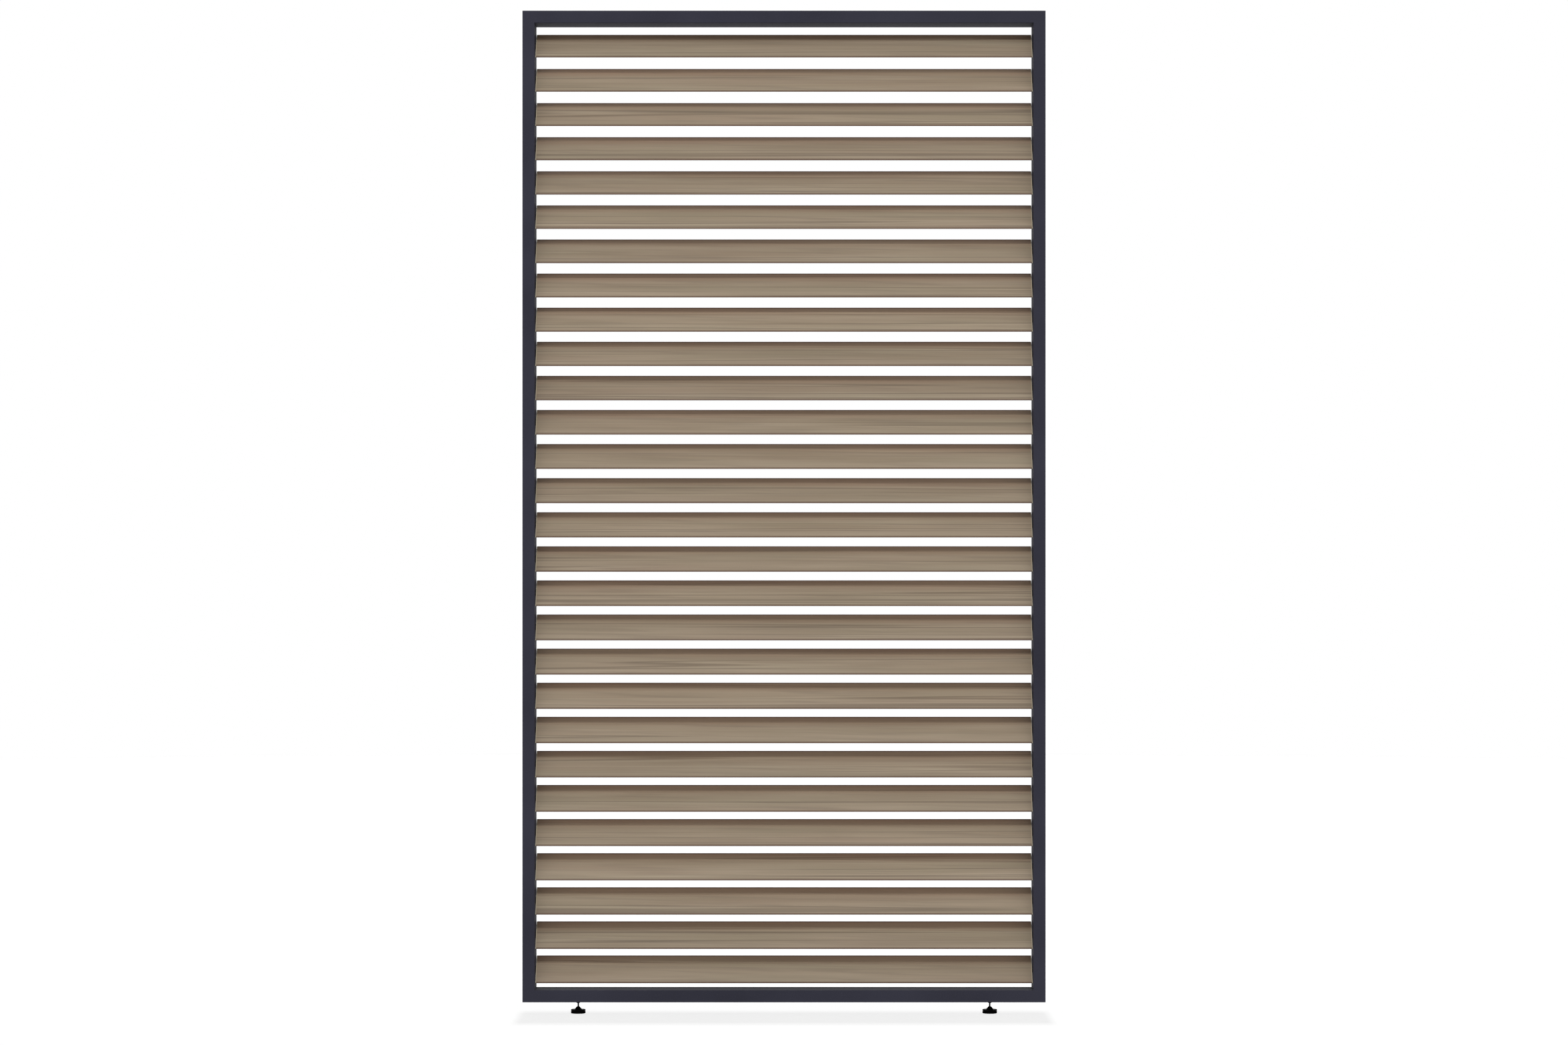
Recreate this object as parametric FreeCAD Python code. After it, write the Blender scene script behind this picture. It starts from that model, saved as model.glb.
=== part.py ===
import FreeCAD, Part
import math
import os

# Garden privacy screen: a mitred frame of rectangular aluminium tube that holds a column of
# hollow louvre blades on pivot pins, tied together by a link bar inside the right stile, and
# stood on two screw feet. Millimetres. X is the width, the front faces -Y, Z is up, and the
# origin is on the floor under the middle of the frame.

# --- Frame ------------------------------------------------------------------------------
frame_width = 1080.0
frame_height = 2048.0
ground_gap = 26.0
tube_face = 25.0
tube_depth = 76.0
tube_wall = 2.0
tube_arris_radius = 1.5
tube_inside_radius = 0.5

# --- Corner cleats and their screws -----------------------------------------------------
cleat_reach = 20.0
cleat_wall = 4.0
cleat_clearance = 0.2
screw_radius = 2.0
screw_head_radius = 3.75
screw_length = 9.0
screw_hole_clearance = 0.05
insert_hole_clearance = 0.05
screw_row_spacing = 40.0
screw_inset = 34.0

# --- Louvre blades ----------------------------------------------------------------------
blade_pitch = 70.9
lowest_blade_height = 40.0
least_height_over_blades = 43.0
blade_chord = 74.0
blade_thickness = 8.0
blade_nose_radius = 1.5
blade_wall = 1.3
blade_core_width = 56.0
blade_end_gap = 1.2
rest_tilt = 45.0

# --- Blade end caps with their pivot pins -----------------------------------------------
cap_flange = 1.6
cap_rim_inset = 0.15
cap_plug_length = 14.0
cap_plug_clearance = 0.1
pin_radius = 3.0
drive_square = 4.0
drive_length = 5.0
drive_clearance = 0.03

# --- Pivot bushes in the stiles ---------------------------------------------------------
bush_radius = 5.0
bush_flange_radius = 7.0
bush_flange_thickness = 0.9
bush_collar_length = 1.5
bush_hole_clearance = 0.05
running_clearance = 0.05

# --- Crank levers and link bar in the right stile ---------------------------------------
crank_arm = 16.0
lever_thickness = 5.0
lever_hub_radius = 5.5
lever_end_radius = 4.0
lever_side_gap = 0.3
crank_pin_radius = 2.0
crank_pin_projection = 1.2
link_bar_width = 10.0
link_bar_thickness = 3.0
link_bar_end_margin = 5.0

# --- Side fixing inserts, M8 thread at its core size ------------------------------------
fixing_bore_radius = 3.4
fixing_body_radius = 5.5
fixing_collar_radius = 7.0
fixing_collar_thickness = 3.0
fixing_length = 16.0
fixing_blade_count = 3

# --- Levelling feet, M6 stud ------------------------------------------------------------
foot_inset = 113.5
foot_insert_radius = 4.5
foot_insert_flange_radius = 5.5
foot_insert_flange_thickness = 0.8
foot_insert_length = 14.0
lock_nut_across_flats = 10.0
lock_nut_height = 3.2
lock_nut_chamfer_height = 1.6
lock_nut_end_radius = 3.7
stud_radius = 3.0
stud_engaged_length = 20.0
stud_taper_height = 1.6
neck_radius = 1.6
ball_radius = 3.0
ball_centre_height = 9.5
foot_radius = 15.0
sole_height = 5.5
sole_edge_radius = 0.8
base_disc_height = 3.0
base_edge_radius = 0.8
base_cone_height = 5.9
base_cone_foot_radius = 8.0
base_cone_top_radius = 2.5
neck_clearance = 0.3

# --- Derived places ---------------------------------------------------------------------
frame_bottom = ground_gap
frame_top = ground_gap + frame_height
half_width = frame_width / 2.0
half_opening = half_width - tube_face
cap_face_x = half_opening - blade_end_gap
stile_wall_inside_x = half_opening + tube_wall
bush_end_x = stile_wall_inside_x + bush_collar_length
lever_start_x = bush_end_x + lever_side_gap
lever_end_x = lever_start_x + lever_thickness
link_bar_start_x = lever_end_x + lever_side_gap
link_bar_end_x = link_bar_start_x + link_bar_thickness
lowest_blade_z = frame_bottom + tube_face + lowest_blade_height
blade_column_room = frame_height - 2 * tube_face - lowest_blade_height - least_height_over_blades
blade_count = 1 + math.floor(blade_column_room / blade_pitch)
blade_heights = [lowest_blade_z + blade_pitch * (blade_count - 1 - i) for i in range(blade_count)]
bush_bore_radius = pin_radius + running_clearance

X_AXIS = FreeCAD.Vector(1, 0, 0)
Y_AXIS = FreeCAD.Vector(0, 1, 0)
Z_AXIS = FreeCAD.Vector(0, 0, 1)
ORIGIN = FreeCAD.Vector(0, 0, 0)

os.makedirs("parts", exist_ok=True)


def save(node, solids):
    """Write one node: a single solid, or a group of separate solids."""
    shape = solids[0] if len(solids) == 1 else Part.makeCompound(solids)
    shape.exportStep("parts/" + node + ".step")


def cylinder(radius, start, direction, length):
    return Part.makeCylinder(radius, length, start, direction)


def cone(start_radius, end_radius, start, direction, length):
    return Part.makeCone(start_radius, end_radius, length, start, direction)


def moved(shape, x, y, z):
    copy = shape.copy()
    copy.translate(FreeCAD.Vector(x, y, z))
    return copy


def mirrored_in_x(shape):
    return shape.mirror(ORIGIN, X_AXIS)


def prism(points, direction):
    """Solid swept from a closed polygon along a direction."""
    wire = Part.makePolygon(points + [points[0]])
    return Part.Face(wire).extrude(direction)


# --- Frame tubes ------------------------------------------------------------------------
def rounded_rectangle(width, depth, radius):
    """Face in the XY plane, centred, with rounded corners."""
    flat_x = width / 2.0 - radius
    flat_y = depth / 2.0 - radius
    edges = []
    previous_end = FreeCAD.Vector(flat_x + radius, -flat_y, 0)
    for side_x, side_y, angle in ((1, 1, 0), (-1, 1, 90), (-1, -1, 180), (1, -1, 270)):
        centre = FreeCAD.Vector(side_x * flat_x, side_y * flat_y, 0)
        corner = Part.makeCircle(radius, centre, Z_AXIS, angle, angle + 90)
        edges.append(Part.makeLine(previous_end, corner.Vertexes[0].Point))
        edges.append(corner)
        previous_end = corner.Vertexes[-1].Point
    return Part.Face(Part.Wire(edges))


def straight_tube(length):
    """Tube standing on the XY plane, its narrow face along X."""
    outer = rounded_rectangle(tube_face, tube_depth, tube_arris_radius)
    inner = rounded_rectangle(tube_face - 2 * tube_wall, tube_depth - 2 * tube_wall, tube_inside_radius)
    return outer.extrude(Z_AXIS * length).cut(inner.extrude(Z_AXIS * length))


def mitre_wedge(length):
    """Trapezium that leaves a tube along Z its full length on the -X side, with 45 degree ends."""
    outside = -tube_face / 2.0
    inside = tube_face / 2.0
    points = [
        FreeCAD.Vector(outside, -tube_depth, 0),
        FreeCAD.Vector(outside, -tube_depth, length),
        FreeCAD.Vector(inside, -tube_depth, length - tube_face),
        FreeCAD.Vector(inside, -tube_depth, tube_face),
    ]
    return prism(points, Y_AXIS * (2 * tube_depth))


def mitred_tube(length):
    """Frame member along Z, its outside face towards -X."""
    return straight_tube(length).common(mitre_wedge(length)).Solids[0]


def screw_places(length):
    """Distances along a member and across its depth of the screws at its two ends."""
    return [
        (along, across)
        for along in (screw_inset, length - screw_inset)
        for across in (-screw_row_spacing / 2.0, screw_row_spacing / 2.0)
    ]


def screw_solid(clearance):
    """Countersunk screw pointing along +X, its head flush with the YZ plane."""
    head_depth = screw_head_radius - screw_radius
    head = cone(screw_head_radius + clearance, screw_radius + clearance, ORIGIN, X_AXIS, head_depth)
    shank = cylinder(screw_radius + clearance, ORIGIN, X_AXIS, screw_length + clearance)
    return head.fuse(shank).removeSplitter()


def member_screws(length, clearance):
    outside = -tube_face / 2.0
    return [moved(screw_solid(clearance), outside, across, along) for along, across in screw_places(length)]


def drilled_member(length):
    member = mitred_tube(length)
    for hole in member_screws(length, screw_hole_clearance):
        member = member.cut(hole)
    return member


def as_left_stile(shape):
    return moved(shape, -half_width + tube_face / 2.0, 0, frame_bottom)


def as_top_rail(shape):
    turned = shape.copy()
    turned.rotate(ORIGIN, Y_AXIS, 90)
    return moved(turned, -half_width, 0, frame_top - tube_face / 2.0)


def as_bottom_rail(shape):
    turned = shape.copy()
    turned.rotate(ORIGIN, Y_AXIS, -90)
    return moved(turned, half_width, 0, frame_bottom + tube_face / 2.0)


left_stile = as_left_stile(drilled_member(frame_height))
top_rail = as_top_rail(drilled_member(frame_width))
bottom_rail = as_bottom_rail(drilled_member(frame_width))

# Bush holes, through the inside wall only.
for height in blade_heights:
    hole_start = FreeCAD.Vector(-half_opening - tube_wall - bush_collar_length, 0, height)
    hole_length = tube_wall + bush_collar_length + blade_end_gap
    left_stile = left_stile.cut(
        cylinder(bush_radius + bush_hole_clearance, hole_start, X_AXIS, hole_length)
    )

# Holes for the side fixing inserts, through the outside wall only.
# They sit halfway between two blades, with fixing_blade_count blades beyond them at either end.
fixing_to_column_end = blade_pitch * (fixing_blade_count - 0.5)
fixing_heights = (blade_heights[0] - fixing_to_column_end, blade_heights[-1] + fixing_to_column_end)
for height in fixing_heights:
    hole_start = FreeCAD.Vector(-half_width, 0, height)
    left_stile = left_stile.cut(
        cylinder(fixing_body_radius + insert_hole_clearance, hole_start, X_AXIS, tube_wall)
    )

# Holes for the foot inserts, through the underside of the bottom rail.
foot_x = half_width - foot_inset
for x in (-foot_x, foot_x):
    hole_start = FreeCAD.Vector(x, 0, frame_bottom)
    bottom_rail = bottom_rail.cut(
        cylinder(foot_insert_radius + insert_hole_clearance, hole_start, Z_AXIS, tube_wall)
    )

save("stile_left", [left_stile])
save("stile_right", [mirrored_in_x(left_stile)])
save("top_rail", [top_rail])
save("bottom_rail", [bottom_rail])


# --- Corner cleats ----------------------------------------------------------------------
def cleat_outline(inset):
    """L outline in the XZ plane for the bottom left corner, drawn in by inset all round."""
    near = tube_wall + cleat_clearance + inset
    far_leg = tube_face + cleat_reach - inset
    inner = tube_face - tube_wall - cleat_clearance - inset
    corners = [
        (near, near), (far_leg, near), (far_leg, inner), (inner, inner), (inner, far_leg), (near, far_leg),
    ]
    return [FreeCAD.Vector(x, 0, z) for x, z in corners]


def corner_cleat():
    """Hollow L extrusion drilled for its screws, at the bottom left corner."""
    depth = tube_depth - 2 * (tube_wall + cleat_clearance)
    outer = prism(cleat_outline(0), Y_AXIS * depth)
    inner = prism(cleat_outline(cleat_wall), Y_AXIS * depth)
    return moved(outer.cut(inner), -half_width, -depth / 2.0, frame_bottom)


bottom_left_cleat = corner_cleat()
left_screws = [as_left_stile(screw) for screw in member_screws(frame_height, 0)]
left_screw_holes = [as_left_stile(screw) for screw in member_screws(frame_height, screw_hole_clearance)]
bottom_screws = [as_bottom_rail(screw) for screw in member_screws(frame_width, 0)]
bottom_screw_holes = [as_bottom_rail(screw) for screw in member_screws(frame_width, screw_hole_clearance)]
for hole in left_screw_holes + bottom_screw_holes:
    bottom_left_cleat = bottom_left_cleat.cut(hole)
bottom_left_cleat = bottom_left_cleat.Solids[0]

frame_middle = FreeCAD.Vector(0, 0, frame_bottom + frame_height / 2.0)
top_left_cleat = bottom_left_cleat.mirror(frame_middle, Z_AXIS)
save("cleat_bottom_left", [bottom_left_cleat])
save("cleat_bottom_right", [mirrored_in_x(bottom_left_cleat)])
save("cleat_top_left", [top_left_cleat])
save("cleat_top_right", [mirrored_in_x(top_left_cleat)])

top_screws = [as_top_rail(screw) for screw in member_screws(frame_width, 0)]
right_screws = [mirrored_in_x(screw) for screw in left_screws]
save("cleat_screws", left_screws + right_screws + top_screws + bottom_screws)


# --- Louvre blades ----------------------------------------------------------------------
half_chord = blade_chord / 2.0
half_thickness = blade_thickness / 2.0
nose_centre = half_chord - blade_nose_radius
face_radius = (
    nose_centre ** 2 / (half_thickness - blade_nose_radius) + half_thickness + blade_nose_radius
) / 2.0
face_centre = face_radius - half_thickness


def blade_outline(x, inset):
    """Lens with round noses in the plane at x: chord along Z, two flat arcs tangent to the noses."""
    nose_radius = blade_nose_radius - inset
    middle_y = half_thickness - inset
    tip_z = half_chord - inset
    lean = math.asin(nose_centre / (face_radius - blade_nose_radius))
    edge_z = nose_centre + nose_radius * math.sin(lean)
    edge_y = nose_radius * math.cos(lean)
    front_low = FreeCAD.Vector(x, -edge_y, -edge_z)
    front_top = FreeCAD.Vector(x, -edge_y, edge_z)
    back_low = FreeCAD.Vector(x, edge_y, -edge_z)
    back_top = FreeCAD.Vector(x, edge_y, edge_z)
    arcs = [
        Part.Arc(front_low, FreeCAD.Vector(x, -middle_y, 0), front_top),
        Part.Arc(front_top, FreeCAD.Vector(x, 0, tip_z), back_top),
        Part.Arc(back_top, FreeCAD.Vector(x, middle_y, 0), back_low),
        Part.Arc(back_low, FreeCAD.Vector(x, 0, -tip_z), front_low),
    ]
    return Part.Face(Part.Wire([arc.toShape() for arc in arcs]))


def core_outline(x, inset):
    """Hollow of the blade, or the plug that fills it, inset from the blade's faces and ends."""
    end_z = blade_core_width / 2.0 - (inset - blade_wall)
    middle_y = half_thickness - inset
    end_y = math.sqrt((face_radius - inset) ** 2 - end_z ** 2) - face_centre
    front_low = FreeCAD.Vector(x, -end_y, -end_z)
    front_top = FreeCAD.Vector(x, -end_y, end_z)
    back_low = FreeCAD.Vector(x, end_y, -end_z)
    back_top = FreeCAD.Vector(x, end_y, end_z)
    edges = [
        Part.Arc(front_low, FreeCAD.Vector(x, -middle_y, 0), front_top).toShape(),
        Part.makeLine(front_top, back_top),
        Part.Arc(back_top, FreeCAD.Vector(x, middle_y, 0), back_low).toShape(),
        Part.makeLine(back_low, front_low),
    ]
    return Part.Face(Part.Wire(edges))


def blade_tube():
    half_length = cap_face_x - cap_flange
    length = X_AXIS * (2 * half_length)
    skin = blade_outline(-half_length, 0).extrude(length)
    core = core_outline(-half_length, blade_wall).extrude(length)
    return skin.cut(core)


def end_cap(has_drive):
    """Cap of the right end: flange, plug inside the blade and pivot pin; square drive on one side."""
    flange_start = cap_face_x - cap_flange
    flange = blade_outline(flange_start, cap_rim_inset).extrude(X_AXIS * cap_flange)
    plug_start = flange_start - cap_plug_length
    plug_face = core_outline(plug_start, blade_wall + cap_plug_clearance)
    plug = plug_face.extrude(X_AXIS * cap_plug_length)
    pin_start = FreeCAD.Vector(cap_face_x, 0, 0)
    cap = flange.fuse(plug).fuse(cylinder(pin_radius, pin_start, X_AXIS, bush_end_x - cap_face_x))
    if has_drive:
        half = drive_square / 2.0
        corner = FreeCAD.Vector(bush_end_x, -half, -half)
        drive_reach = lever_side_gap + drive_length
        cap = cap.fuse(Part.makeBox(drive_reach, drive_square, drive_square, corner))
    return cap.removeSplitter()


def crank_lever():
    """Lever on the right end's square drive, its crank pin level with the pivot and behind it."""
    hub_start = FreeCAD.Vector(lever_start_x, 0, 0)
    tip_start = FreeCAD.Vector(lever_start_x, crank_arm, 0)
    web_corner = FreeCAD.Vector(lever_start_x, 0, -lever_end_radius)
    lever = cylinder(lever_hub_radius, hub_start, X_AXIS, lever_thickness)
    lever = lever.fuse(cylinder(lever_end_radius, tip_start, X_AXIS, lever_thickness))
    lever = lever.fuse(Part.makeBox(lever_thickness, crank_arm, 2 * lever_end_radius, web_corner))
    crank_pin_start = FreeCAD.Vector(lever_end_x, crank_arm, 0)
    crank_pin_length = link_bar_end_x + crank_pin_projection - lever_end_x
    lever = lever.fuse(cylinder(crank_pin_radius, crank_pin_start, X_AXIS, crank_pin_length))
    socket_size = drive_square + 2 * drive_clearance
    socket_corner = FreeCAD.Vector(lever_start_x, -socket_size / 2.0, -socket_size / 2.0)
    socket = Part.makeBox(lever_thickness, socket_size, socket_size, socket_corner)
    socket.rotate(ORIGIN, X_AXIS, -rest_tilt)
    return lever.removeSplitter().cut(socket)


blade_pieces = [blade_tube(), mirrored_in_x(end_cap(False)), end_cap(True)]
for piece in blade_pieces:
    piece.rotate(ORIGIN, X_AXIS, -rest_tilt)
blade_pieces.append(crank_lever())

for number, height in enumerate(blade_heights, start=1):
    save("slat_%02d" % number, [moved(piece, 0, 0, height) for piece in blade_pieces])


# --- Pivot bushes -----------------------------------------------------------------------
def bush(height):
    """Flanged bush of the right stile, flange in the gap at the blade's end."""
    flange_start = FreeCAD.Vector(half_opening - bush_flange_thickness, 0, height)
    body_start = FreeCAD.Vector(half_opening, 0, height)
    body = cylinder(bush_radius, body_start, X_AXIS, bush_end_x - half_opening)
    flange = cylinder(bush_flange_radius, flange_start, X_AXIS, bush_flange_thickness)
    bore = cylinder(bush_bore_radius, flange_start, X_AXIS, bush_end_x - flange_start.x)
    return body.fuse(flange).removeSplitter().cut(bore)


right_bushes = [bush(height) for height in blade_heights]
save("bushes_right", right_bushes)
save("bushes_left", [mirrored_in_x(one) for one in right_bushes])


# --- Link bar ---------------------------------------------------------------------------
bar_bottom = blade_heights[-1] - link_bar_end_margin
bar_length = blade_heights[0] - blade_heights[-1] + 2 * link_bar_end_margin
bar_corner = FreeCAD.Vector(link_bar_start_x, crank_arm - link_bar_width / 2.0, bar_bottom)
link_bar = Part.makeBox(link_bar_thickness, link_bar_width, bar_length, bar_corner)
for height in blade_heights:
    hole_start = FreeCAD.Vector(link_bar_start_x, crank_arm, height)
    hole = cylinder(crank_pin_radius + running_clearance, hole_start, X_AXIS, link_bar_thickness)
    link_bar = link_bar.cut(hole)
save("link_bar", [link_bar])


# --- Side fixing inserts ----------------------------------------------------------------
def fixing_insert(height):
    """Threaded insert set flush in the outside wall of the right stile, gripped by its collar."""
    mouth = FreeCAD.Vector(half_width, 0, height)
    collar_start = FreeCAD.Vector(half_width - tube_wall, 0, height)
    body = cylinder(fixing_body_radius, mouth, -X_AXIS, fixing_length)
    collar = cylinder(fixing_collar_radius, collar_start, -X_AXIS, fixing_collar_thickness)
    bore = cylinder(fixing_bore_radius, mouth, -X_AXIS, fixing_length)
    return body.fuse(collar).removeSplitter().cut(bore)


right_fixings = [fixing_insert(height) for height in fixing_heights]
save("fixing_inserts_right", right_fixings)
save("fixing_inserts_left", [mirrored_in_x(one) for one in right_fixings])


# --- Levelling feet ---------------------------------------------------------------------
nut_top = frame_bottom - foot_insert_flange_thickness
nut_bottom = nut_top - lock_nut_height
stud_bore_radius = stud_radius + running_clearance


def foot_insert():
    flange_start = FreeCAD.Vector(0, 0, nut_top)
    body_start = FreeCAD.Vector(0, 0, frame_bottom)
    body = cylinder(foot_insert_radius, body_start, Z_AXIS, foot_insert_length)
    flange = cylinder(foot_insert_flange_radius, flange_start, Z_AXIS, foot_insert_flange_thickness)
    bore_length = foot_insert_length + foot_insert_flange_thickness
    bore = cylinder(stud_bore_radius, flange_start, Z_AXIS, bore_length)
    return body.fuse(flange).removeSplitter().cut(bore)


def lock_nut():
    """Thin hexagon nut, two flats facing left and right, turned down to a cone at the bottom."""
    corner_radius = lock_nut_across_flats / 2.0 / math.cos(math.radians(30))
    corners = []
    for step in range(6):
        angle = math.radians(30 + 60 * step)
        corners.append(
            FreeCAD.Vector(corner_radius * math.cos(angle), corner_radius * math.sin(angle), nut_bottom)
        )
    hexagon = prism(corners, Z_AXIS * lock_nut_height)
    base = FreeCAD.Vector(0, 0, nut_bottom)
    chamfer_top = FreeCAD.Vector(0, 0, nut_bottom + lock_nut_chamfer_height)
    envelope = cone(lock_nut_end_radius, corner_radius, base, Z_AXIS, lock_nut_chamfer_height)
    straight_height = lock_nut_height - lock_nut_chamfer_height
    envelope = envelope.fuse(cylinder(corner_radius, chamfer_top, Z_AXIS, straight_height))
    bore = cylinder(stud_bore_radius, base, Z_AXIS, lock_nut_height)
    return hexagon.common(envelope).cut(bore).Solids[0]


def foot_stud():
    """Threaded stud that narrows to a neck and ends in a ball inside the foot's socket."""
    taper_bottom = nut_bottom - stud_taper_height
    thread_start = FreeCAD.Vector(0, 0, nut_bottom)
    thread = cylinder(stud_radius, thread_start, Z_AXIS, frame_bottom + stud_engaged_length - nut_bottom)
    taper_start = FreeCAD.Vector(0, 0, taper_bottom)
    taper = cone(neck_radius, stud_radius, taper_start, Z_AXIS, stud_taper_height)
    neck_start = FreeCAD.Vector(0, 0, ball_centre_height)
    neck = cylinder(neck_radius, neck_start, Z_AXIS, taper_bottom - ball_centre_height)
    ball = Part.makeSphere(ball_radius, neck_start)
    return thread.fuse(taper).fuse(neck).fuse(ball).removeSplitter()


def foot_base():
    """Moulded base: disc with a cone over the ball socket."""
    disc_start = FreeCAD.Vector(0, 0, sole_height)
    disc = cylinder(foot_radius, disc_start, Z_AXIS, base_disc_height)
    rims = [edge for edge in disc.Edges if edge.Closed and edge.Length > foot_radius]
    disc = disc.makeFillet(base_edge_radius, rims)
    cone_start = FreeCAD.Vector(0, 0, sole_height + base_disc_height)
    body = disc.fuse(
        cone(base_cone_foot_radius, base_cone_top_radius, cone_start, Z_AXIS, base_cone_height)
    ).removeSplitter()
    ball_centre = FreeCAD.Vector(0, 0, ball_centre_height)
    body = body.cut(Part.makeSphere(ball_radius + running_clearance, ball_centre))
    neck_hole_length = sole_height + base_disc_height + base_cone_height - ball_centre_height
    return body.cut(cylinder(neck_radius + neck_clearance, ball_centre, Z_AXIS, neck_hole_length))


def foot_sole():
    """Soft anti-slip disc under the base, with both rims rounded."""
    disc = cylinder(foot_radius, ORIGIN, Z_AXIS, sole_height)
    rims = [edge for edge in disc.Edges if edge.Closed and edge.Length > foot_radius]
    return disc.makeFillet(sole_edge_radius, rims)


save("foot_inserts", [moved(foot_insert(), x, 0, 0) for x in (-foot_x, foot_x)])
save("foot_lock_nuts", [moved(lock_nut(), x, 0, 0) for x in (-foot_x, foot_x)])
for side, x in (("left", -foot_x), ("right", foot_x)):
    save("foot_stud_" + side, [moved(foot_stud(), x, 0, 0)])
    save("foot_base_" + side, [moved(foot_base(), x, 0, 0)])
    save("foot_sole_" + side, [moved(foot_sole(), x, 0, 0)])
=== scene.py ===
import math
import bmesh
import bpy
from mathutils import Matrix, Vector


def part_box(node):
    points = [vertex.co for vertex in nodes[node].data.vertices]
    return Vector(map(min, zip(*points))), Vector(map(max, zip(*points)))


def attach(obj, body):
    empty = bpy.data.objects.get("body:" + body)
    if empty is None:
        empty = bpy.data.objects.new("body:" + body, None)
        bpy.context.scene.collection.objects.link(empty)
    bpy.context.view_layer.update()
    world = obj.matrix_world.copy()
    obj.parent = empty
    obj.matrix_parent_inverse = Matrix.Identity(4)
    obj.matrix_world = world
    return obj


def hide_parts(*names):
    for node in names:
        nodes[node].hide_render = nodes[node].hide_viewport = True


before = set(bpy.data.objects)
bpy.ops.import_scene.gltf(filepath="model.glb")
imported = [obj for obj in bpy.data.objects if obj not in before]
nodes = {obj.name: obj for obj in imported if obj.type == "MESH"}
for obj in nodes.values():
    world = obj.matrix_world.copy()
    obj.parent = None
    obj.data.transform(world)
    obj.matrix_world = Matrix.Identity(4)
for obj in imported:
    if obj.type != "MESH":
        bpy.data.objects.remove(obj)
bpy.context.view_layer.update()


# --- Frame tubes ------------------------------------------------------------------------
# Two stiles and two rails of extruded aluminium tube, mitred at the corners and screwed to
# cleats. Polyester powder coat in anthracite, sprayed and baked, with a fine matt texture.
FRAME_TUBES = ("stile_left", "stile_right", "top_rail", "bottom_rail")
COAT_GRAIN_MM = 2.4
COAT_CLOUD_MM = 160
COAT_RELIEF_MM = 0.05
COAT_GLOSS = 0.02


def linear(hex_colour):
    """Linear RGBA of an sRGB hex colour."""
    channels = [int(hex_colour[i:i + 2], 16) / 255 for i in (1, 3, 5)]
    return [c / 12.92 if c <= 0.04045 else ((c + 0.055) / 1.055) ** 2.4 for c in channels] + [1.0]


def add(tree, kind, inputs=(), **settings):
    """Adds one node with its settings, and gives its inputs their values or links. The inputs come in
    the node's own order or by name, and a hex colour is turned to linear."""
    made = tree.nodes.new("ShaderNode" + kind)
    for name, value in settings.items():
        setattr(made, name, value)
    for socket, value in inputs.items() if isinstance(inputs, dict) else enumerate(inputs):
        if isinstance(value, bpy.types.NodeSocket):
            tree.links.new(value, made.inputs[socket])
        else:
            made.inputs[socket].default_value = linear(value) if isinstance(value, str) else value
    return made.outputs


def new_material(name):
    material = bpy.data.materials.new(name)
    material.use_nodes = True
    material.node_tree.nodes.clear()
    return material, material.node_tree


def give(material, *node_names):
    """Puts the material on every slot of the named CAD nodes."""
    for node_name in node_names:
        mesh = nodes[node_name].data
        mesh.materials.clear()
        mesh.materials.append(material)


def mottle(tree, size_mm, detail=2.0, stretch=(1, 1, 1)):
    """A pattern of blotches about size_mm across, and longer where stretch is below 1."""
    point = add(tree, "TexCoord")["Object"]
    stretched = add(tree, "VectorMath", (point, stretch), operation="MULTIPLY")[0]
    return add(tree, "TexNoise", {"Vector": stretched, "Scale": 1000 / size_mm, "Detail": detail})["Fac"]


def layer(tree, below, colour, pattern, low, high, share=1.0):
    """Lays a colour over what is below it: none of it where the pattern is low, its share where high."""
    amount = add(tree, "MapRange", (pattern, low, high, 0.0, share))[0]
    return add(tree, "Mix", {0: amount, 6: below, 7: colour}, data_type="RGBA")[2]


def finish(tree, colour, pattern, low_roughness, high_roughness, height, relief_mm, more):
    """The surface of a material: its colour, a roughness that follows a pattern, its relief, and more
    inputs by name."""
    shader = add(tree, "BsdfPrincipled", {
        "Base Color": colour,
        "Roughness": add(tree, "MapRange", (pattern, 0.3, 0.7, low_roughness, high_roughness))[0],
        "Normal": add(tree, "Bump", {"Height": height, "Distance": relief_mm / 1000, "Strength": 1.0})[0],
        **more,
    })[0]
    add(tree, "OutputMaterial", [shader])


# Thermoset polyester powder: a dielectric film over the metal, so not metallic, and matt enough to stay
# dark in a white surround. Its grit is about 0.3 mm, too fine to show, and is drawn coarser.
anthracite_coat, tree = new_material("anthracite_powder_coat")
grit = mottle(tree, COAT_GRAIN_MM, detail=3.0)
cloud = mottle(tree, COAT_CLOUD_MM)
colour = layer(tree, "#2C2C35", "#32323C", cloud, 0.3, 0.7)
colour = layer(tree, colour, "#3A3A44", grit, 0.55, 0.75, 0.35)
finish(tree, colour, grit, 0.50, 0.62, grit, COAT_RELIEF_MM, {"Specular IOR Level": COAT_GLOSS})
give(anthracite_coat, *FRAME_TUBES)


# --- Corner cleats ----------------------------------------------------------------------
# Short angles sawn from an aluminium extrusion, left as extruded, pushed into the mitred ends
# of the tubes. Drawing lines run along the extrusion, which is the depth of the frame.
CLEATS = ("cleat_bottom_left", "cleat_bottom_right", "cleat_top_left", "cleat_top_right")
DIE_LINE_MM = 0.9
DIE_LINE_RELIEF_MM = 0.02

# Bare extruded metal: a dull silver with fine die lines along the extrusion.
extruded_aluminium, tree = new_material("extruded_aluminium")
die_lines = mottle(tree, DIE_LINE_MM, stretch=(1, 0.02, 1))
colour = layer(tree, "#B4B6B8", "#C9CBCC", die_lines, 0.35, 0.65)
finish(tree, colour, die_lines, 0.34, 0.46, die_lines, DIE_LINE_RELIEF_MM, {"Metallic": 1.0})
give(extruded_aluminium, *CLEATS)


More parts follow.
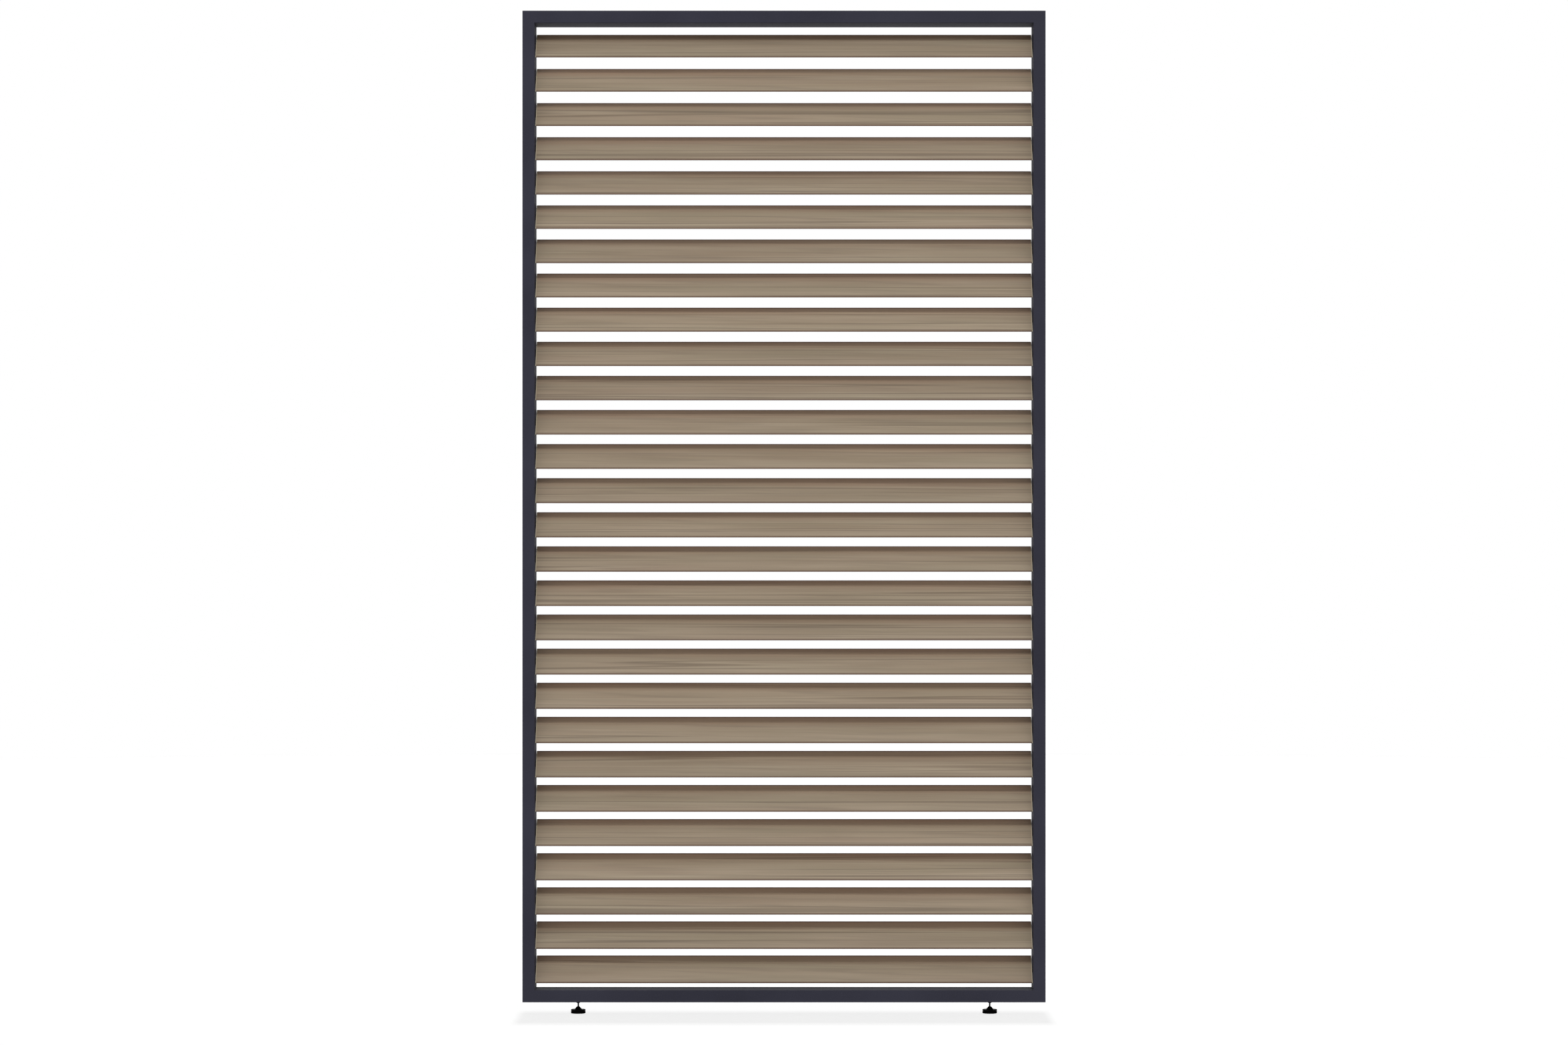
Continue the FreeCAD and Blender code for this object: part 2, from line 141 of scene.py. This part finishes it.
# --- Cleat screws -----------------------------------------------------------------------
# Sixteen M4 countersunk screws with a 2.5 mm hexagon socket, flush in the outside faces of the
# frame. Steel with a thin bright zinc plating.
SCREW_HEAD_RADIUS = 0.00375
SCREW_RADIUS = 0.002
SCREW_LENGTH = 0.009
SCREW_HEAD_EDGE = 0.0001
SCREW_TIP_CHAMFER = 0.0005
SOCKET_ACROSS_FLATS = 0.0025
SOCKET_DEPTH = 0.0015
SOCKET_POINT_DEPTH = 0.0019
SCREW_INSET = 0.034
SCREW_ROW = 0.020
RING_POINTS = 48
PLATING_SPANGLE_MM = 0.8
PLATING_RELIEF_MM = 0.01


def hexagon_radius(angle, across_flats):
    """Distance from the centre to a hexagon's outline at an angle."""
    from_flat = (angle + math.pi / 6) % (math.pi / 3) - math.pi / 6
    return across_flats / 2 / math.cos(from_flat)


def add_screw(mesh, place, inward):
    """One screw: rings from the bottom of its socket, over the head and down to its tip. A ring
    without a radius is the hexagon."""
    across = (inward[2], 0, inward[0])
    rings = [
        (SOCKET_DEPTH, None),
        (0.0, None),
        (0.0, SCREW_HEAD_RADIUS - SCREW_HEAD_EDGE),
        (SCREW_HEAD_EDGE, SCREW_HEAD_RADIUS),
        (SCREW_HEAD_RADIUS - SCREW_RADIUS, SCREW_RADIUS),
        (SCREW_LENGTH - SCREW_TIP_CHAMFER, SCREW_RADIUS),
        (SCREW_LENGTH, SCREW_RADIUS - SCREW_TIP_CHAMFER),
    ]
    made = []
    for depth, radius in rings:
        ring = []
        for step in range(RING_POINTS):
            angle = 2 * math.pi * step / RING_POINTS
            reach = radius or hexagon_radius(angle, SOCKET_ACROSS_FLATS)
            ring.append(mesh.verts.new([
                place[axis] + inward[axis] * depth + across[axis] * reach * math.cos(angle)
                + (axis == 1) * reach * math.sin(angle)
                for axis in range(3)
            ]))
        made.append(ring)
    for inner, outer in zip(made, made[1:]):
        for step in range(RING_POINTS):
            following = (step + 1) % RING_POINTS
            mesh.faces.new((inner[step], inner[following], outer[following], outer[step]))
    for ring, depth in ((made[0], SOCKET_POINT_DEPTH), (made[-1], SCREW_LENGTH)):
        centre = mesh.verts.new([place[axis] + inward[axis] * depth for axis in range(3)])
        for step in range(RING_POINTS):
            mesh.faces.new((centre, ring[step], ring[(step + 1) % RING_POINTS]))


frame_low, frame_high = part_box("stile_left")[0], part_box("stile_right")[1]
screw_mesh = bmesh.new()
for row in (-SCREW_ROW, SCREW_ROW):
    for z in (frame_low.z + SCREW_INSET, frame_high.z - SCREW_INSET):
        add_screw(screw_mesh, (frame_low.x, row, z), (1, 0, 0))
        add_screw(screw_mesh, (frame_high.x, row, z), (-1, 0, 0))
    for x in (frame_low.x + SCREW_INSET, frame_high.x - SCREW_INSET):
        add_screw(screw_mesh, (x, row, frame_low.z), (0, 0, 1))
        add_screw(screw_mesh, (x, row, frame_high.z), (0, 0, -1))
bmesh.ops.recalc_face_normals(screw_mesh, faces=screw_mesh.faces)
screw_data = bpy.data.meshes.new("countersunk_screws")
screw_mesh.to_mesh(screw_data)
screw_mesh.free()
screws = bpy.data.objects.new("countersunk_screws", screw_data)
bpy.context.scene.collection.objects.link(screws)

# Electroplated zinc: a bright metal with a faint cloudy spangle, so roughness varies in patches.
zinc_plate, tree = new_material("bright_zinc_plate")
spangle = mottle(tree, PLATING_SPANGLE_MM, detail=3.0)
colour = layer(tree, "#A9ABAE", "#C4C6C8", spangle, 0.35, 0.65)
finish(tree, colour, spangle, 0.24, 0.38, spangle, PLATING_RELIEF_MM, {"Metallic": 1.0})
screw_data.materials.append(zinc_plate)
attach(screws, "frame")
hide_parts("cleat_screws")


# --- Pivot bushes -----------------------------------------------------------------------
# Fifty-six flanged bushes, moulded in black nylon and snapped into the inside walls of the
# stiles. Slightly glossy where the mould was smooth, with faint flow marks.
MOULD_FLOW_MM = 7
MOULD_GRAIN_MM = 0.8
MOULD_RELIEF_MM = 0.03


def moulded_plastic(name, dark, pale, low_roughness, high_roughness, gloss):
    """Moulded plastic: soft flow clouds in its colour and a fine spark-eroded grain on its skin."""
    material, tree = new_material(name)
    flow = mottle(tree, MOULD_FLOW_MM)
    grain = mottle(tree, MOULD_GRAIN_MM, detail=3.0)
    colour = layer(tree, dark, pale, flow, 0.3, 0.7)
    more = {"Specular IOR Level": gloss}
    finish(tree, colour, grain, low_roughness, high_roughness, grain, MOULD_RELIEF_MM, more)
    return material


black_nylon = moulded_plastic("black_nylon", "#0D0D0E", "#151516", 0.42, 0.56, 0.3)
give(black_nylon, "bushes_left", "bushes_right")


# --- Louvre blades ----------------------------------------------------------------------
# Twenty-eight hollow lens-shaped aluminium extrusions. A taupe powder coat carries a wood grain
# printed into it by heat, so the grain has colour but almost no relief, and a satin skin.
LOWEST_PIVOT = 0.091
BLADE_PITCH = 0.0709
BLADE_COUNT = 28
# Painted shade: a darker reddish brown over the upper part of each blade's face, where the blade above
# shades it.
UPPER_SHADE_START, UPPER_SHADE_END = 0.006, 0.031
# Painted shade: dark reddish lines along both long edges of each blade, where its rounded noses lie in
# shade.
UPPER_NOSE_SHADE_START, UPPER_NOSE_SHADE_END = 0.0325, 0.0350
LOWER_NOSE_SHADE_START, LOWER_NOSE_SHADE_END = -0.0335, -0.0356
BLADE_END = 0.5122
CAP_END = 0.5139
TONE_LENGTH_MM, TONE_WIDTH_MM = 420, 26
HUE_LENGTH_MM, HUE_WIDTH_MM = 700, 40
FLAME_LENGTH_MM, FLAME_WIDTH_MM = 260, 9
FLAME_SLANT = 0.03
LINE_LENGTH_MM, LINE_WIDTH_MM = 4200, 26
FIBRE_LENGTH_MM, FIBRE_WIDTH_MM = 300, 2.6
FIBRE_RELIEF_MM = 0.02
DRIFT_LENGTH_MM, DRIFT_WIDTH_MM, DRIFT_MM = 520, 60, 5
DRIFT_JUMP = 60.0
PRINT_JUMP_ALONG, PRINT_JUMP_ACROSS = 9.0, 0.4
THROUGH_SHARE = 0.4
CHANCE_SEED = 3.7
BLADE_GLOSS = 0.4

# Sublimated print in a satin polyester coat: the eye gets a soft grain along the blade, almost flat.
# Its sizes are those of the streaks as seen from nine metres, where nothing under 1.4 mm shows.
wood_print, tree = new_material("taupe_wood_grain_coat")

# Which blade a point is on, counted from the lowest, and where it lies from that blade's pivot: along
# the blade, up its chord, which stands at 45 degrees at rest, and through its thickness.
point = add(tree, "TexCoord")["Object"]
along, depth, height = add(tree, "SeparateXYZ", [point])
above_lowest = add(tree, "Math", (height, LOWEST_PIVOT), operation="SUBTRACT")[0]
in_pitches = add(tree, "Math", (above_lowest, BLADE_PITCH), operation="DIVIDE")[0]
number = add(tree, "Math", [in_pitches], operation="ROUND")[0]
own_pivot = add(tree, "Math", (number, BLADE_PITCH, LOWEST_PIVOT), operation="MULTIPLY_ADD")[0]
own_height = add(tree, "Math", (height, own_pivot), operation="SUBTRACT")[0]
from_pivot = add(tree, "CombineXYZ", (along, depth, own_height))[0]
up_chord = (0, math.sqrt(0.5), math.sqrt(0.5))
chord = add(tree, "VectorMath", (from_pivot, up_chord), operation="DOT_PRODUCT")["Value"]
up_thickness = (0, -math.sqrt(0.5), math.sqrt(0.5))
through = add(tree, "VectorMath", (from_pivot, up_thickness), operation="DOT_PRODUCT")["Value"]

# Every blade draws its own place in the print and its own tone.
draw_number = add(tree, "Math", (number, CHANCE_SEED), operation="ADD")[0]
drawn = add(tree, "TexWhiteNoise", {"W": draw_number}, noise_dimensions="1D")["Color"]
chance = add(tree, "SeparateXYZ", [drawn])
blade_draw = add(tree, "CombineXYZ", (chance[0], number, number))[0]

# Grain lines wander up and down by a few millimetres along the blade.
drift_start = add(tree, "VectorMath", (blade_draw, (DRIFT_JUMP, 0, 1)), operation="MULTIPLY")[0]
drift_scale = (1000 / DRIFT_LENGTH_MM, 1000 / DRIFT_WIDTH_MM, 0)
on_face = add(tree, "CombineXYZ", (along, chord))[0]
drift_place = add(tree, "VectorMath", (on_face, drift_scale, drift_start), operation="MULTIPLY_ADD")[0]
drift = add(tree, "TexNoise", {"Vector": drift_place, "Scale": 1.0, "Detail": 1.0})["Fac"]
aside = add(tree, "Math", (drift, 0.5), operation="SUBTRACT")[0]
wandering = add(tree, "Math", (aside, DRIFT_MM / 1000, chord), operation="MULTIPLY_ADD")[0]


def streaks(seed, length_mm, width_mm, detail=2.0, distortion=0.0, slant=0.0):
    """A pattern drawn out along the blade, cut from a different place in the print for every blade."""
    across = add(tree, "Math", (along, slant, wandering), operation="MULTIPLY_ADD")[0]
    place = add(tree, "CombineXYZ", (along, across, through))[0]
    jump = (PRINT_JUMP_ALONG + seed, PRINT_JUMP_ACROSS + seed, 0)
    print_place = add(tree, "VectorMath", (blade_draw, jump, place), operation="MULTIPLY_ADD")[0]
    scale = (1000 / length_mm, 1000 / width_mm, 1000 * THROUGH_SHARE / width_mm)
    scaled = add(tree, "VectorMath", (print_place, scale), operation="MULTIPLY")[0]
    settings = {"Vector": scaled, "Scale": 1.0, "Detail": detail, "Distortion": distortion}
    return add(tree, "TexNoise", settings)["Fac"]


def away_from(pattern, level):
    """How far a pattern is from a level: 0 along the thin line where it passes that level."""
    difference = add(tree, "Math", (pattern, level), operation="SUBTRACT")[0]
    return add(tree, "Math", [difference], operation="ABSOLUTE")[0]


tone = streaks(0.13, TONE_LENGTH_MM, TONE_WIDTH_MM)
hue = streaks(0.71, HUE_LENGTH_MM, HUE_WIDTH_MM)
flame = streaks(0.37, FLAME_LENGTH_MM, FLAME_WIDTH_MM, detail=3.0, distortion=0.3, slant=FLAME_SLANT)
rings = streaks(0.53, LINE_LENGTH_MM, LINE_WIDTH_MM, detail=1.0)
fibre = streaks(0.29, FIBRE_LENGTH_MM, FIBRE_WIDTH_MM, detail=3.0)

# From the ground colour up: paler, greener and warmer areas, flames, dark and pale ring lines, and
# fibre. Over these goes painted shade: a darker reddish brown towards each blade's upper edge, where
# the blade above shades it, darkest in lines along the two long edges, where the rounded noses are in
# shade.
upper_shade_share = add(tree, "MapRange", (hue, 0.35, 0.65, 0.58, 0.42))[0]
wood = "#8D7E6A"
for pattern, low, high, share, colour in (
    (tone, 0.32, 0.68, 1.0, "#9B8C78"),
    (hue, 0.52, 0.70, 0.35, "#8C846E"),
    (hue, 0.48, 0.30, 0.35, "#947F6D"),
    (flame, 0.50, 0.72, 0.38, "#75685A"),
    (away_from(rings, 0.50), 0.022, 0.0, 0.55, "#5E5144"),
    (away_from(rings, 0.47), 0.014, 0.0, 0.25, "#B4A892"),
    (fibre, 0.35, 0.65, 0.20, "#776A5A"),
    # painted shade of the blade above, a darker reddish brown towards the upper edge
    (chord, UPPER_SHADE_START, UPPER_SHADE_END, upper_shade_share, "#8C664A"),
    # painted shade on the rounded upper and lower noses of the blade
    (chord, UPPER_NOSE_SHADE_START, UPPER_NOSE_SHADE_END, 0.90, "#4E3324"),
    (chord, LOWER_NOSE_SHADE_START, LOWER_NOSE_SHADE_END, 0.85, "#5A4434"),
):
    wood = layer(tree, wood, colour, pattern, low, high, share)
blade_tone = add(tree, "MapRange", (chance[1], 0.0, 1.0, 0.89, 0.98))[0]
wood = add(tree, "Mix", {0: 1.0, 6: wood, 7: blade_tone}, data_type="RGBA", blend_type="MULTIPLY")[2]

# The end caps are moulded in a plain taupe nylon to match; the cranks inside the stile are black.
reach = add(tree, "Math", [along], operation="ABSOLUTE")[0]
for end, colour in ((BLADE_END, "#A0957F"), (CAP_END, "#101011")):
    beyond = add(tree, "Math", (reach, end), operation="GREATER_THAN")[0]
    wood = add(tree, "Mix", {0: beyond, 6: wood, 7: colour}, data_type="RGBA")[2]
finish(tree, wood, fibre, 0.46, 0.58, fibre, FIBRE_RELIEF_MM, {"Specular IOR Level": BLADE_GLOSS})
give(wood_print, *["slat_%02d" % n for n in range(1, BLADE_COUNT + 1)])


# --- Link bar ---------------------------------------------------------------------------
# A flat aluminium bar inside the right stile, punched for the 28 crank pins so that all the
# blades turn together. Mill finish, with rolling lines along its length.
ROLLING_LINE_MM = 0.8
ROLLING_RELIEF_MM = 0.02

# Bare rolled metal: bright, with soft streaks along the bar.
rolled_aluminium, tree = new_material("mill_finish_aluminium")
rolling = mottle(tree, ROLLING_LINE_MM, stretch=(1, 1, 0.01))
colour = layer(tree, "#BFC1C3", "#D2D4D5", rolling, 0.35, 0.65)
finish(tree, colour, rolling, 0.30, 0.42, rolling, ROLLING_RELIEF_MM, {"Metallic": 1.0})
give(rolled_aluminium, "link_bar")


# --- Side fixing inserts and foot inserts -----------------------------------------------
# Threaded inserts pressed into the stiles and under the bottom rail, turned from free-cutting
# steel and zinc plated. The M8 thread in the side inserts is drawn as rings, one for each turn.
FIXING_PITCH_MM = 1.25
FIXING_RIDGE_MM = 0.35


def thread(tree, axis, pitch_mm):
    """Rises and falls once for each turn of a thread along an axis."""
    point = add(tree, "TexCoord")["Object"]
    along_thread = add(tree, "SeparateXYZ", [point])[axis]
    turns = add(tree, "Math", (along_thread, 2 * math.pi * 1000 / pitch_mm), operation="MULTIPLY")[0]
    return add(tree, "Math", [turns], operation="SINE")[0]


# Zinc plate over turned steel: a little darker and rougher than on the screws.
turned_zinc, tree = new_material("zinc_plated_insert")
spangle = mottle(tree, PLATING_SPANGLE_MM, detail=3.0)
colour = layer(tree, "#A4A6A8", "#BDBFC1", spangle, 0.35, 0.65)
ridge = thread(tree, "X", FIXING_PITCH_MM)
finish(tree, colour, spangle, 0.26, 0.40, ridge, FIXING_RIDGE_MM, {"Metallic": 1.0})
give(turned_zinc, "fixing_inserts_left", "fixing_inserts_right", "foot_inserts")


# --- Lock nuts and studs ----------------------------------------------------------------
# Each foot screws up into the bottom rail on an M6 stud and is locked by a thin nut. Both are
# steel. The thread has a pitch of 1 mm and is drawn as rings, one for each turn.
STUD_PITCH_MM = 1.0
STUD_RIDGE_MM = 0.3
THREAD_BOTTOM = 0.022

# Black zinc plating: dark, a little glossy, and not quite metallic to the eye.
black_zinc, tree = new_material("black_zinc_plate")
spangle = mottle(tree, PLATING_SPANGLE_MM, detail=3.0)
colour = layer(tree, "#0C0C0F", "#141417", spangle, 0.35, 0.65)
height = add(tree, "SeparateXYZ", [add(tree, "TexCoord")["Object"]])["Z"]
threaded = add(tree, "Math", (height, THREAD_BOTTOM), operation="GREATER_THAN")[0]
ridge = add(tree, "Math", (thread(tree, "Z", STUD_PITCH_MM), threaded), operation="MULTIPLY")[0]
finish(tree, colour, spangle, 0.36, 0.50, ridge, STUD_RIDGE_MM, {"Metallic": 0.8})
give(black_zinc, "foot_lock_nuts", "foot_stud_left", "foot_stud_right")


# --- Feet -------------------------------------------------------------------------------
# A cone-topped disc moulded in black nylon over the stud's ball, and under it a soft rubber
# sole that keeps the foot from slipping. Both are deep black and reflect almost nothing.
black_nylon_base = moulded_plastic("black_nylon_base", "#010101", "#030304", 0.30, 0.42, 0.03)
black_rubber_sole = moulded_plastic("black_rubber_sole", "#010101", "#030303", 0.68, 0.82, 0.03)
give(black_nylon_base, "foot_base_left", "foot_base_right")
give(black_rubber_sole, "foot_sole_left", "foot_sole_right")


# --- Studio -----------------------------------------------------------------------------
# A pale floor that runs out to white, a white surround, a soft lamp in front and above, and a strip
# light far overhead for the shadow that the floor keeps under the screen.
FLOOR_RADIUS = 14.0
FLOOR_SIDES = 96
FLOOR_SHADE = 0.05
FLOOR_MARGIN = 0.01
HORIZON_LIGHT, ZENITH_LIGHT = 1.03, 0.35
HORIZON_END, ZENITH_START = 0.30, 0.85
FLOOR_AMBIENT = 0.6
FLOOR_BOUNCE = 0.5
LAMP_PLACE = (-0.3, -8.0, 7.2)
LAMP_TARGET = (0.0, 0.0, 1.0)
LAMP_SIZE = 1.8
LAMP_POWER = 434.0
OVERHEAD_HEIGHT = 200.0
OVERHEAD_LEAN = 2.6
OVERHEAD_WIDTH, OVERHEAD_DEPTH = 1.8, 25.0
OVERHEAD_LIGHT = 9.0


def meets_background(tree):
    """1 for the rays that should meet a white background: the camera's, reflections and glass."""
    ray = add(tree, "LightPath")
    seen = add(tree, "Math", (ray["Is Camera Ray"], ray["Is Glossy Ray"]), operation="MAXIMUM")[0]
    return add(tree, "Math", (seen, ray["Is Transmission Ray"]), operation="MAXIMUM")[0]


bpy.ops.mesh.primitive_circle_add(vertices=FLOOR_SIDES, radius=FLOOR_RADIUS, fill_type="NGON")
floor = bpy.context.object
floor.name = "studio_floor"

# A dark paint under a glow. The paint takes the shadow. The glow makes the floor white to the camera and
# in reflections, and for other rays stands in for the light that a pale floor throws up.
floor_paint, tree = new_material("white_floor")
diffuse = add(tree, "BsdfDiffuse", {"Color": (FLOOR_SHADE, FLOOR_SHADE, FLOOR_SHADE, 1)})[0]
floor_light = FLOOR_SHADE * (FLOOR_AMBIENT + OVERHEAD_LIGHT)
white_glow = 1.0 + FLOOR_MARGIN - floor_light
glow_strength = add(tree, "MapRange", (meets_background(tree), 0.0, 1.0, FLOOR_BOUNCE, white_glow))[0]
glow = add(tree, "Emission", {"Strength": glow_strength})[0]
floor_surface = add(tree, "AddShader", (diffuse, glow))[0]
add(tree, "OutputMaterial", [floor_surface])
floor.data.materials.append(floor_paint)

world = bpy.data.worlds.new("white_surround")
bpy.context.scene.world = world
world.use_nodes = True
tree = world.node_tree
tree.nodes.clear()

# The surround lights the screen more from the horizon than from overhead.
upward = add(tree, "SeparateXYZ", [add(tree, "TexCoord")["Generated"]])["Z"]
climb = (upward, HORIZON_END, ZENITH_START, HORIZON_LIGHT, ZENITH_LIGHT)
around = add(tree, "MapRange", climb)[0]
strength = add(tree, "MapRange", (meets_background(tree), 0.0, 1.0, around, 1.0))[0]
surround = add(tree, "Background", {"Strength": strength, "Color": (1, 1, 1, 1)})[0]
add(tree, "OutputWorld", [surround])

lamp_data = bpy.data.lights.new("soft_lamp", "AREA")
lamp_data.shape = "DISK"
lamp_data.size = LAMP_SIZE
lamp_data.energy = LAMP_POWER
lamp = bpy.data.objects.new("soft_lamp", lamp_data)
bpy.context.scene.collection.objects.link(lamp)
lamp.location = LAMP_PLACE
aim = [target - place for target, place in zip(LAMP_TARGET, LAMP_PLACE)]
lamp.rotation_mode = "QUATERNION"
lamp.rotation_quaternion = Vector(aim).to_track_quat("-Z", "Y")

# A long strip light far overhead, leaning a little from behind, draws a soft shadow in front of the
# feet. Only the top rail blocks it: lower pieces would draw hard lines close to the screen.
overhead_data = bpy.data.lights.new("overhead_light", "AREA")
overhead_data.shape = "RECTANGLE"
overhead_data.size = OVERHEAD_WIDTH
overhead_data.size_y = OVERHEAD_DEPTH
overhead_data.energy = OVERHEAD_LIGHT * math.pi ** 2 * OVERHEAD_HEIGHT ** 2
overhead = bpy.data.objects.new("overhead_light", overhead_data)
bpy.context.scene.collection.objects.link(overhead)
lean = math.radians(OVERHEAD_LEAN)
overhead.location = (0, OVERHEAD_HEIGHT * math.sin(lean), OVERHEAD_HEIGHT * math.cos(lean))
overhead.rotation_euler = (-lean, 0, 0)
blockers = bpy.data.collections.new("blocks_overhead_light")
blockers.objects.link(nodes["top_rail"])
overhead.light_linking.blocker_collection = blockers

# The soft lamp leaves the floor out, so that no long shadow behind the screen greys its openings,
# and the overhead light is for the floor alone.
for light, name, state in (
    (lamp, "not_lit_by_lamp", "EXCLUDE"),
    (overhead, "lit_from_overhead", "INCLUDE"),
):
    receivers = bpy.data.collections.new(name)
    receivers.objects.link(floor)
    light.light_linking.receiver_collection = receivers
    receivers.collection_objects[0].light_linking.link_state = state


# --- Camera -----------------------------------------------------------------------------
# Level, straight on, about nine metres in front, a little below the middle of the screen.
CAMERA_PLACE = (0.0, -8.955, 0.881)
CAMERA_LENS = 99.18
CAMERA_SHIFT = 0.042

camera_data = bpy.data.cameras.new("camera")
camera_data.sensor_width = 36.0
camera_data.lens = CAMERA_LENS
camera_data.shift_y = CAMERA_SHIFT
camera = bpy.data.objects.new("camera", camera_data)
bpy.context.scene.collection.objects.link(camera)
camera.location = CAMERA_PLACE
camera.rotation_euler = (math.pi / 2, 0, 0)
bpy.context.scene.camera = camera
bpy.context.scene.view_settings.view_transform = "Standard"
